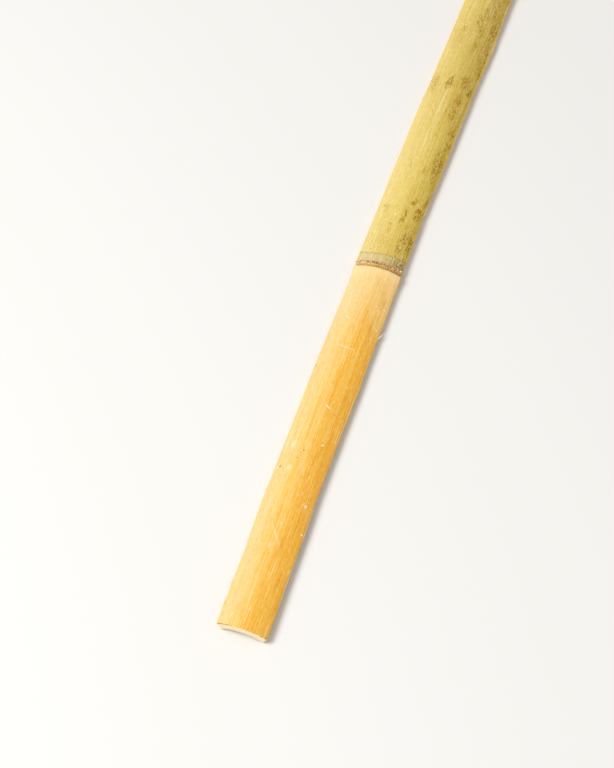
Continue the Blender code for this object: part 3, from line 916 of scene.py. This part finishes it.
BURR_FIBRES = 70  # at each end
BURR_INSIDE = 0.7  # the share of them that hangs from the inner corner
BURR_HANGS = (0.3 * MM, 1.2 * MM)
BURR_STANDS = (0.2 * MM, 0.6 * MM)
BURR_WIDTHS = (0.08 * MM, 0.18 * MM)
BURR_ROOT = 0.30 * MM
BURR_BULGE = 0.20 * MM
short = np.linspace(0, 1, 7)
lines, widths = [], []
for end_x in (TIP_END, BUTT_END):
    outward = 1 if end_x > 0 else -1
    for fibre in range(BURR_FIBRES):
        s = draw.uniform(-0.97, 0.9)
        inner = draw.random() < BURR_INSIDE
        under_skin = draw.uniform(0.86, 0.97) if inner else 0.04
        root, _ = wall_point(end_x - outward * BURR_ROOT, s, under_skin, fine=False)
        reach = draw.uniform(*(BURR_HANGS if inner else BURR_STANDS))
        hang = np.array([0, draw.normal(0, 0.6), -1.0 if inner else 0.25])
        path = root + shift + hang * (reach * short ** 1.3)[:, None]
        path[:, 0] += outward * BURR_BULGE * np.sin(math.pi * short ** 0.7)
        lines.append(path)
        widths.append(draw.uniform(*BURR_WIDTHS) * (1 - short) ** 0.5 + 0.02 * MM)
burr_wood = fibre_finish("burr_wood", paint(255, 244, 216), paint(232, 190, 128), paint(206, 154, 92))
fibre_piece("end_burr", np.array(lines), np.array(widths), 0.7, burr_wood, sides=5)


# The torn base of the sheath at each scar: a fringe of dry brown scraps, thin and stiff, that
# leans up the culm over the pitted hollow.

SCRAPS = 130  # at each scar
SCRAP_LENGTHS = (0.45 * MM, 1.25 * MM)
SCRAP_WIDTHS = (0.25 * MM, 0.95 * MM)
SCRAP_ROOT = 0.12 * MM
lines, widths = [], []
for node in NODES:
    for scrap in range(SCRAPS):
        s = 1.92 * draw.random() ** 0.75 - 0.96
        angle = s * HALF_ANGLE
        arc = angle * plain_radius(node)
        root_x = node - draw.uniform(0.0, 0.35 * MM)
        root_radius = skin_radius(np.array(root_x), np.array(arc)) - SCRAP_ROOT
        reach = draw.uniform(*SCRAP_LENGTHS)
        xs = root_x + reach * short
        radius = root_radius + draw.uniform(0.02 * MM, 0.20 * MM) * np.sin(2.2 * short)
        lines.append(place(xs, angle + draw.normal(0, 0.008) * short, radius) + shift)
        widths.append(draw.uniform(*SCRAP_WIDTHS) * (1 - short ** 2) ** 0.5 + 0.05 * MM)
sheath_scraps = fibre_finish("sheath_scraps", paint(240, 204, 170), paint(112, 76, 62), paint(128, 90, 66))
fibre_piece("sheath_fringe", np.array(lines), np.array(widths), 0.22, sheath_scraps)


# The ragged rims of the planed stumps, on the underside: short tags of the partition's spongy wood
# that the plane bent over instead of cutting.

TAGS = 90  # at each stump
TAG_LENGTHS = (0.6 * MM, 1.9 * MM)
TAG_WIDTHS = (0.14 * MM, 0.5 * MM)
RIM_FROM_MIDDLE = 2.5 * MM
lines, widths = [], []
for node in NODES:
    for tag in range(TAGS):
        angle = draw.uniform(-0.88, 0.88) * HALF_ANGLE
        way = draw.choice((-1, 1))
        root_x = node + STUMP_AT + way * RIM_FROM_MIDDLE
        xs = root_x + way * draw.uniform(*TAG_LENGTHS) * short
        height = draw.uniform(0.12 * MM, 0.9 * MM) + draw.uniform(-0.06 * MM, 0.5 * MM) * short
        radius = axis_depth(xs) / math.cos(angle) + height
        lines.append(place(xs, angle + draw.normal(0, 0.012) * short, radius) + shift)
        widths.append(draw.uniform(*TAG_WIDTHS) * (1 - short) ** 0.5 + 0.03 * MM)
tag_wood = fibre_finish("stump_tags", paint(240, 206, 148), paint(186, 134, 76), paint(160, 108, 58))
fibre_piece("stump_tags", np.array(lines), np.array(widths), 0.5, tag_wood, sides=5)


# The table is a plain white sheet. The light is one large soft box from the upper left of the view,
# with a pale room round it.

FLOOR_REACH = 6
FLOOR_COLOUR = (0.83, 0.82, 0.80, 1)
FLOOR_ROUGHNESS = 0.8

floor_mesh = bpy.data.meshes.new("floor")
floor_corners = [(FLOOR_REACH * x, FLOOR_REACH * y, 0) for x, y in ((-1, -1), (1, -1), (1, 1), (-1, 1))]
floor_mesh.from_pydata(floor_corners, [], [(0, 1, 2, 3)])
floor = bpy.data.objects.new("floor", floor_mesh)
bpy.context.scene.collection.objects.link(floor)
floor_finish = bpy.data.materials.new("white_sheet")
floor_finish.use_nodes = True
surface = floor_finish.node_tree.nodes["Principled BSDF"]
surface.inputs["Base Color"].default_value = FLOOR_COLOUR
surface.inputs["Roughness"].default_value = FLOOR_ROUGHNESS
floor_mesh.materials.append(floor_finish)

HEADING = math.radians(-162.45)
PITCH = math.radians(52.0)
CAMERA_PLACE = (1.231, 0.276, 1.275)
LENS = 104.06

camera_data = bpy.data.cameras.new("camera")
camera_data.lens = LENS
camera = bpy.data.objects.new("camera", camera_data)
camera.location = CAMERA_PLACE
camera.rotation_euler = (math.pi / 2 - PITCH, 0, HEADING - math.pi / 2)
bpy.context.scene.collection.objects.link(camera)
bpy.context.scene.camera = camera

LIGHT_TURN = HEADING + math.radians(112)
LIGHT_RISE = math.radians(51)
LIGHT_AWAY = 3.4
LIGHT_AIM = 0.15  # the place along the slat that it points at
LIGHT_SIZE = 1.7
LIGHT_POWER = 92
ROOM_COLOUR = (1.0, 0.98, 0.95, 1)
ROOM_LIGHT = 0.54

soft_box = bpy.data.lights.new("soft_box", "AREA")
soft_box.shape = "SQUARE"
soft_box.size = LIGHT_SIZE
soft_box.energy = LIGHT_POWER
lamp = bpy.data.objects.new("soft_box", soft_box)
level = LIGHT_AWAY * math.cos(LIGHT_RISE)
lamp_x = LIGHT_AIM + level * math.cos(LIGHT_TURN)
lamp.location = (lamp_x, level * math.sin(LIGHT_TURN), LIGHT_AWAY * math.sin(LIGHT_RISE))
lamp.rotation_euler = (math.pi / 2 - LIGHT_RISE, 0, LIGHT_TURN + math.pi / 2)
bpy.context.scene.collection.objects.link(lamp)

world = bpy.data.worlds.new("room")
world.use_nodes = True
background = world.node_tree.nodes["Background"]
background.inputs["Color"].default_value = ROOM_COLOUR
background.inputs["Strength"].default_value = ROOM_LIGHT
bpy.context.scene.world = world
bpy.context.scene.view_settings.view_transform = "Standard"
